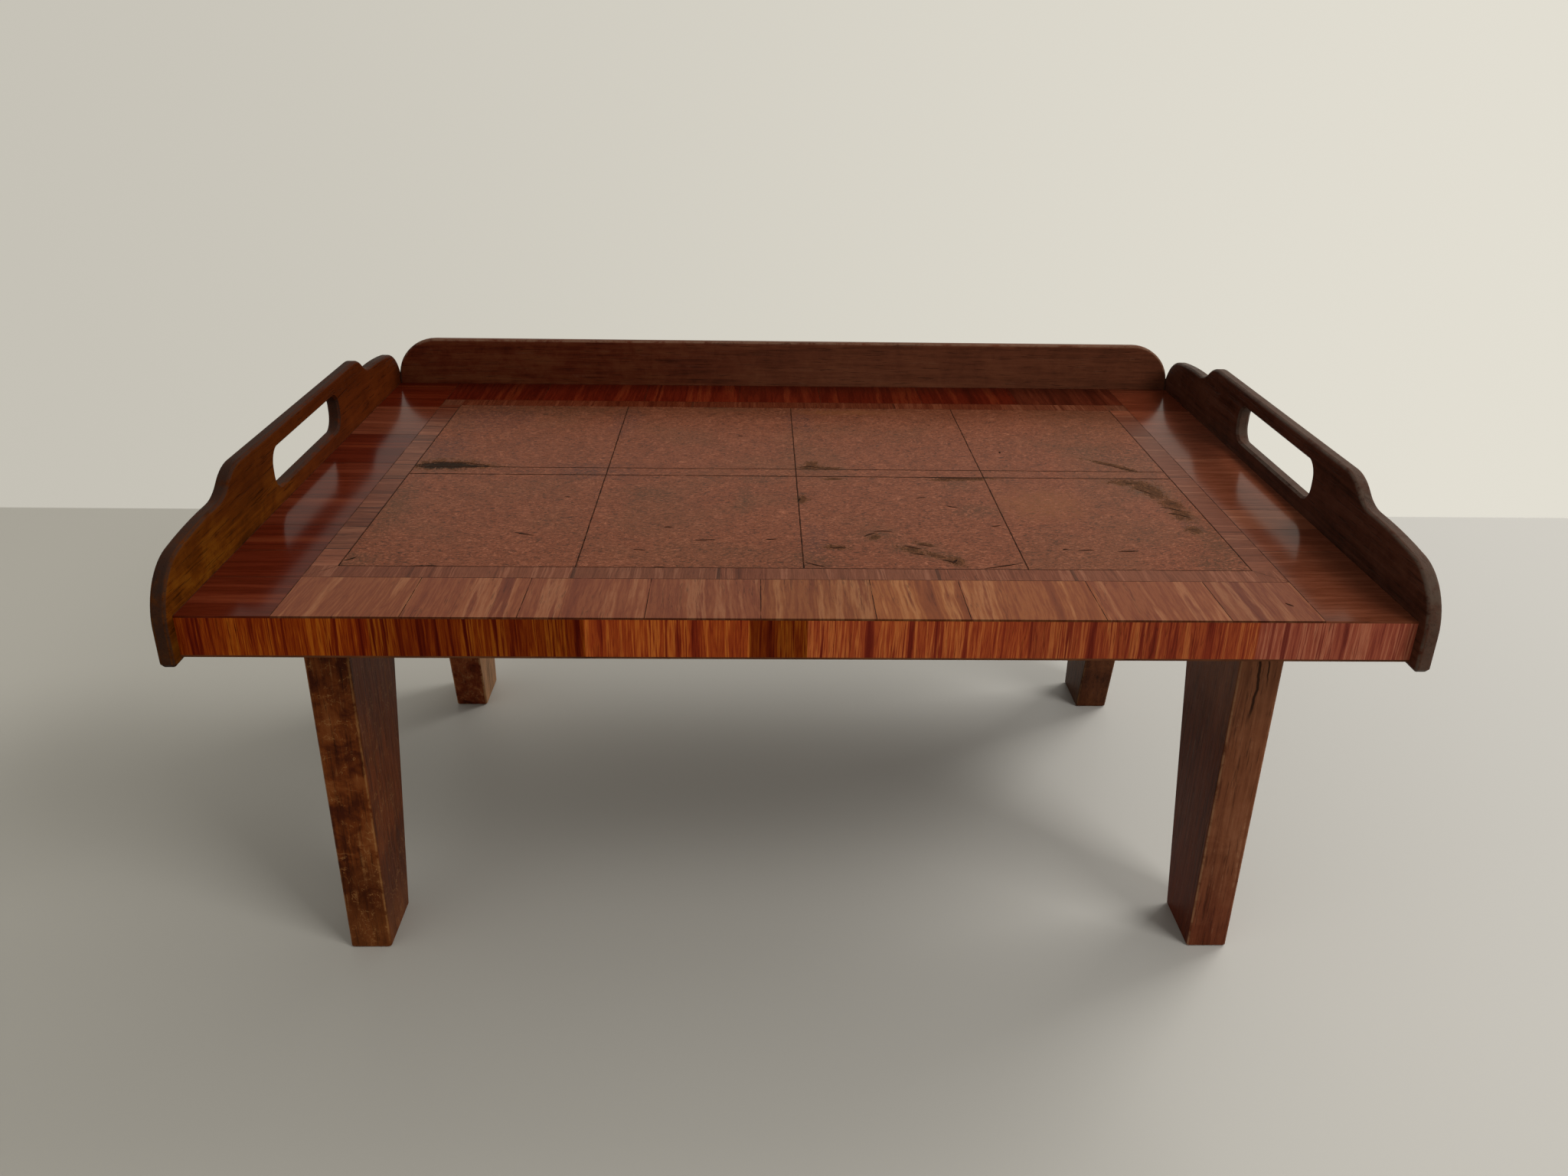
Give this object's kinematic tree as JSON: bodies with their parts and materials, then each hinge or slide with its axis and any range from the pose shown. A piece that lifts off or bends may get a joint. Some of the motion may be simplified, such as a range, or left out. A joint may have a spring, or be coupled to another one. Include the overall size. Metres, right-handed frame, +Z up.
{
  "type": "coffee table",
  "caption": "Low coffee table with an inlaid tray top, pierced and shaped end boards as handles, a back rail and tapered plank legs.",
  "frame": {"origin": "on the floor, below the middle of the table", "axes": "+X along the length, towards the right end board; +Y from the open front towards the back rail; +Z up"},
  "size_m": [0.862, 0.598, 0.395],
  "materials": {
    "burr_veneer": "gloss lacquer",
    "band_veneer": "gloss lacquer",
    "edge_veneer": "satin lacquer",
    "dark_oak": "worn satin polish",
    "leg_oak": "worn satin polish",
    "core_board": "bare",
    "backing_veneer": "matt polish",
    "beech": "bare"
  },
  "bodies": {
    "root": {"top_core": "core_board", "underside_veneer": "backing_veneer", "front_edge_veneer": "edge_veneer", "burr_panel_front_1": "burr_veneer", "burr_panel_front_2": "burr_veneer", "burr_panel_front_3": "burr_veneer", "burr_panel_front_4": "burr_veneer", "burr_panel_back_1": "burr_veneer", "burr_panel_back_2": "burr_veneer", "burr_panel_back_3": "burr_veneer", "burr_panel_back_4": "burr_veneer", "middle_strip": "burr_veneer", "band_corner_squares": "band_veneer", "narrow_band_front": "band_veneer", "narrow_band_back": "band_veneer", "narrow_band_left": "band_veneer", "narrow_band_right": "band_veneer", "wide_band_front": "band_veneer", "wide_band_back": "band_veneer", "wide_band_left": "band_veneer", "wide_band_right": "band_veneer", "left_end_board": "dark_oak", "right_end_board": "dark_oak", "back_rail": "dark_oak", "leg_front_left": "leg_oak", "leg_front_right": "leg_oak", "leg_back_left": "leg_oak", "leg_back_right": "leg_oak", "left_board_tongue": "beech", "right_board_tongue": "beech", "back_rail_tongue": "beech"}
  },
  "joints": []
}
